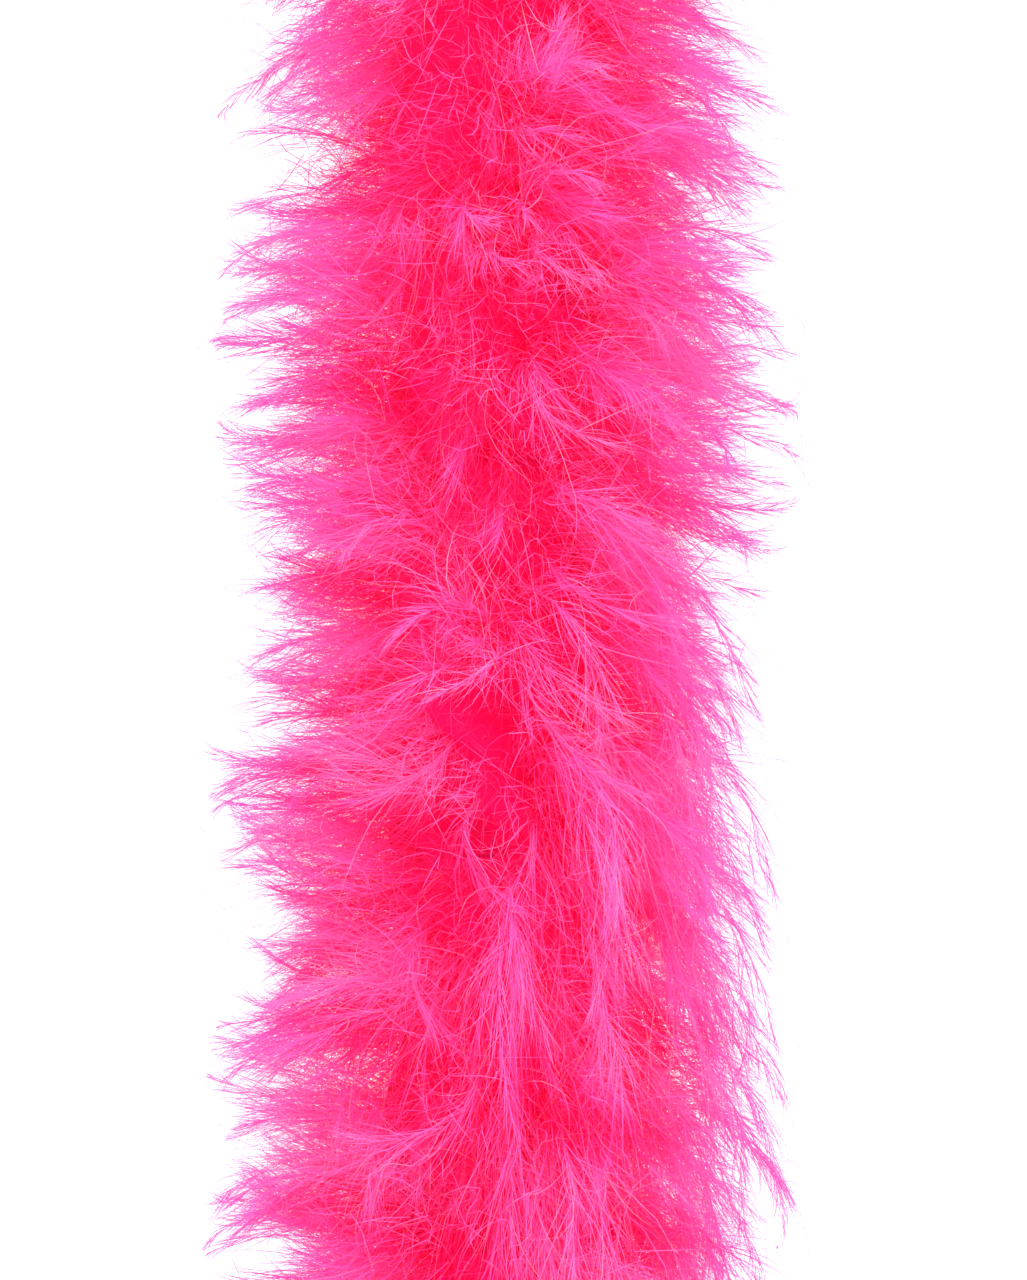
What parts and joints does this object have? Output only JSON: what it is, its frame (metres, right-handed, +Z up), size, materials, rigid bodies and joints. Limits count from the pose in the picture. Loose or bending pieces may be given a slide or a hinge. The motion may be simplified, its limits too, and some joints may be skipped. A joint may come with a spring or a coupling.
{
  "type": "feather boa",
  "caption": "Long limp scarf of fluffy down plumes stitched round a thin core cord, hung by a cord loop at one end.",
  "frame": {"origin": "inner top of the hanging loop, where a hook or finger bears", "axes": "+Z up along the boa, which hangs straight down along -Z; the loop lies in the XZ plane; the boa is round, so X and Y are alike"},
  "size_m": [0.136, 0.136, 1.8912],
  "materials": {
    "marabou_down": "dyed hot pink down, soft and matt, paler at the plume tips",
    "core_cord": "two-ply twisted cotton cord dyed to match",
    "binding_thread": "fine polyester sewing thread, slight sheen"
  },
  "bodies": {
    "loop_end": {"hang_loop": "core_cord", "top_whipping": "binding_thread"},
    "stretch_01": {"core_01": "core_cord", "binding_01": "binding_thread", "plumes_01": "marabou_down"},
    "stretch_02": {"core_02": "core_cord", "binding_02": "binding_thread", "plumes_02": "marabou_down"},
    "stretch_03": {"core_03": "core_cord", "binding_03": "binding_thread", "plumes_03": "marabou_down"},
    "stretch_04": {"core_04": "core_cord", "binding_04": "binding_thread", "plumes_04": "marabou_down"},
    "stretch_05": {"core_05": "core_cord", "binding_05": "binding_thread", "plumes_05": "marabou_down"},
    "stretch_06": {"core_06": "core_cord", "binding_06": "binding_thread", "plumes_06": "marabou_down"},
    "stretch_07": {"core_07": "core_cord", "binding_07": "binding_thread", "plumes_07": "marabou_down"},
    "stretch_08": {"core_08": "core_cord", "binding_08": "binding_thread", "plumes_08": "marabou_down"},
    "stretch_09": {"core_09": "core_cord", "binding_09": "binding_thread", "plumes_09": "marabou_down"},
    "stretch_10": {"core_10": "core_cord", "binding_10": "binding_thread", "plumes_10": "marabou_down"},
    "stretch_11": {"core_11": "core_cord", "binding_11": "binding_thread", "plumes_11": "marabou_down"},
    "stretch_12": {"core_12": "core_cord", "binding_12": "binding_thread", "plumes_12": "marabou_down"},
    "stretch_13": {"core_13": "core_cord", "binding_13": "binding_thread", "plumes_13": "marabou_down"},
    "stretch_14": {"core_14": "core_cord", "binding_14": "binding_thread", "plumes_14": "marabou_down"},
    "stretch_15": {"core_15": "core_cord", "binding_15": "binding_thread", "plumes_15": "marabou_down"},
    "stretch_16": {"core_16": "core_cord", "binding_16": "binding_thread", "plumes_16": "marabou_down"},
    "stretch_17": {"core_17": "core_cord", "binding_17": "binding_thread", "plumes_17": "marabou_down"},
    "stretch_18": {"core_18": "core_cord", "binding_18": "binding_thread", "plumes_18": "marabou_down", "bottom_whipping": "binding_thread", "end_knot": "core_cord", "end_tail": "core_cord"}
  },
  "joints": [
    {"name": "bend_01", "type": "hinge", "parent": "loop_end", "child": "stretch_01", "pos_m": [0, 0, -0.0456], "axis": [1, 0, 0], "range_deg": [-45, 45]},
    {"name": "bend_02", "type": "hinge", "parent": "stretch_01", "child": "stretch_02", "pos_m": [0, 0, -0.1456], "axis": [0, 1, 0], "range_deg": [-45, 45]},
    {"name": "bend_03", "type": "hinge", "parent": "stretch_02", "child": "stretch_03", "pos_m": [0, 0, -0.2456], "axis": [1, 0, 0], "range_deg": [-45, 45]},
    {"name": "bend_04", "type": "hinge", "parent": "stretch_03", "child": "stretch_04", "pos_m": [0, 0, -0.3456], "axis": [0, 1, 0], "range_deg": [-45, 45]},
    {"name": "bend_05", "type": "hinge", "parent": "stretch_04", "child": "stretch_05", "pos_m": [0, 0, -0.4456], "axis": [1, 0, 0], "range_deg": [-45, 45]},
    {"name": "bend_06", "type": "hinge", "parent": "stretch_05", "child": "stretch_06", "pos_m": [0, 0, -0.5456], "axis": [0, 1, 0], "range_deg": [-45, 45]},
    {"name": "bend_07", "type": "hinge", "parent": "stretch_06", "child": "stretch_07", "pos_m": [0, 0, -0.6456], "axis": [1, 0, 0], "range_deg": [-45, 45]},
    {"name": "bend_08", "type": "hinge", "parent": "stretch_07", "child": "stretch_08", "pos_m": [0, 0, -0.7456], "axis": [0, 1, 0], "range_deg": [-45, 45]},
    {"name": "bend_09", "type": "hinge", "parent": "stretch_08", "child": "stretch_09", "pos_m": [0, 0, -0.8456], "axis": [1, 0, 0], "range_deg": [-45, 45]},
    {"name": "bend_10", "type": "hinge", "parent": "stretch_09", "child": "stretch_10", "pos_m": [0, 0, -0.9456], "axis": [0, -1, 0], "range_deg": [-45, 45]},
    {"name": "bend_11", "type": "hinge", "parent": "stretch_10", "child": "stretch_11", "pos_m": [0, 0, -1.0456], "axis": [-1, 0, 0], "range_deg": [-45, 45]},
    {"name": "bend_12", "type": "hinge", "parent": "stretch_11", "child": "stretch_12", "pos_m": [0, 0, -1.1456], "axis": [0, -1, 0], "range_deg": [-45, 45]},
    {"name": "bend_13", "type": "hinge", "parent": "stretch_12", "child": "stretch_13", "pos_m": [0, 0, -1.2456], "axis": [-1, 0, 0], "range_deg": [-45, 45]},
    {"name": "bend_14", "type": "hinge", "parent": "stretch_13", "child": "stretch_14", "pos_m": [0, 0, -1.3456], "axis": [0, -1, 0], "range_deg": [-45, 45]},
    {"name": "bend_15", "type": "hinge", "parent": "stretch_14", "child": "stretch_15", "pos_m": [0, 0, -1.4456], "axis": [-1, 0, 0], "range_deg": [-45, 45]},
    {"name": "bend_16", "type": "hinge", "parent": "stretch_15", "child": "stretch_16", "pos_m": [0, 0, -1.5456], "axis": [0, -1, 0], "range_deg": [-45, 45]},
    {"name": "bend_17", "type": "hinge", "parent": "stretch_16", "child": "stretch_17", "pos_m": [0, 0, -1.6456], "axis": [-1, 0, 0], "range_deg": [-45, 45]},
    {"name": "bend_18", "type": "hinge", "parent": "stretch_17", "child": "stretch_18", "pos_m": [0, 0, -1.7456], "axis": [0, -1, 0], "range_deg": [-45, 45]}
  ]
}
